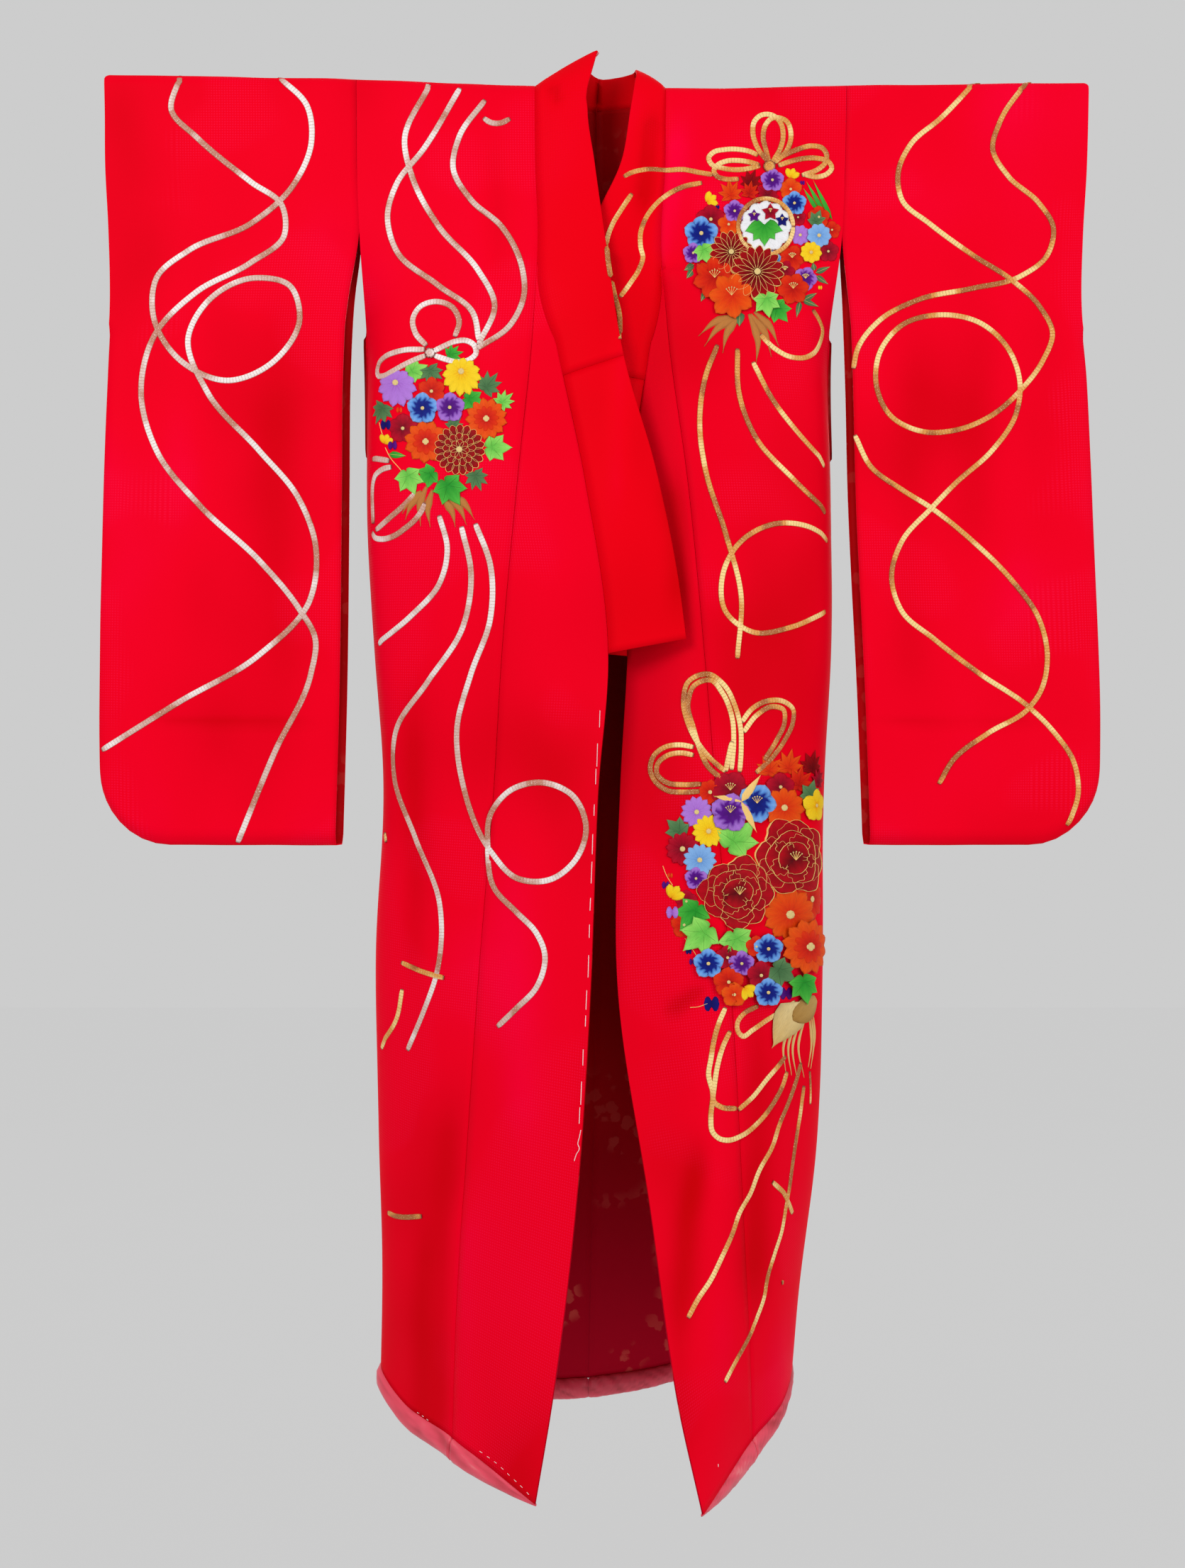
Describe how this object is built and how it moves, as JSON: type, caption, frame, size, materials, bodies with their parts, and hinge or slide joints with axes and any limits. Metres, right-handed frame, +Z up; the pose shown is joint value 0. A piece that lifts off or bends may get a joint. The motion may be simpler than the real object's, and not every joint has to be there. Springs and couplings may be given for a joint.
{
  "type": "uchikake wedding kimono",
  "caption": "Scarlet silk wedding over-robe, hung open at the front, with long bag sleeves, couched cords, flower balls and a padded hem.",
  "frame": {"origin": "middle of the shoulder line, where the robe is held up", "axes": "+Z up, the front looks along -Y, the wearer's right is at -X"},
  "size_m": [1.3541, 0.3886, 1.9121],
  "materials": {
    "scarlet_silk": "soft silk with a faint woven figure",
    "madder_lining": "dark red lining silk with a faint woven figure",
    "rose_satin": "rose satin over wadding",
    "gold_thread": "gold foil thread, couched",
    "silver_thread": "silver foil thread, couched, warm where tarnished",
    "flower_silk": "many-coloured silk satin stitch",
    "white_thread": "white basting thread"
  },
  "bodies": {
    "root": {"body_right": "scarlet_silk", "overlap_right": "scarlet_silk", "neckband_right": "scarlet_silk", "sleeve_right": "scarlet_silk", "lining_right": "madder_lining", "sleeve_lining_right": "madder_lining", "hem_pad_overlap_right": "rose_satin", "hem_pad_front_right": "rose_satin", "hem_pad_back_right": "rose_satin", "body_left": "scarlet_silk", "overlap_left": "scarlet_silk", "neckband_left": "scarlet_silk", "sleeve_left": "scarlet_silk", "lining_left": "madder_lining", "sleeve_lining_left": "madder_lining", "hem_pad_overlap_left": "rose_satin", "hem_pad_front_left": "rose_satin", "hem_pad_back_left": "rose_satin", "over_collar": "scarlet_silk"}
  },
  "joints": []
}
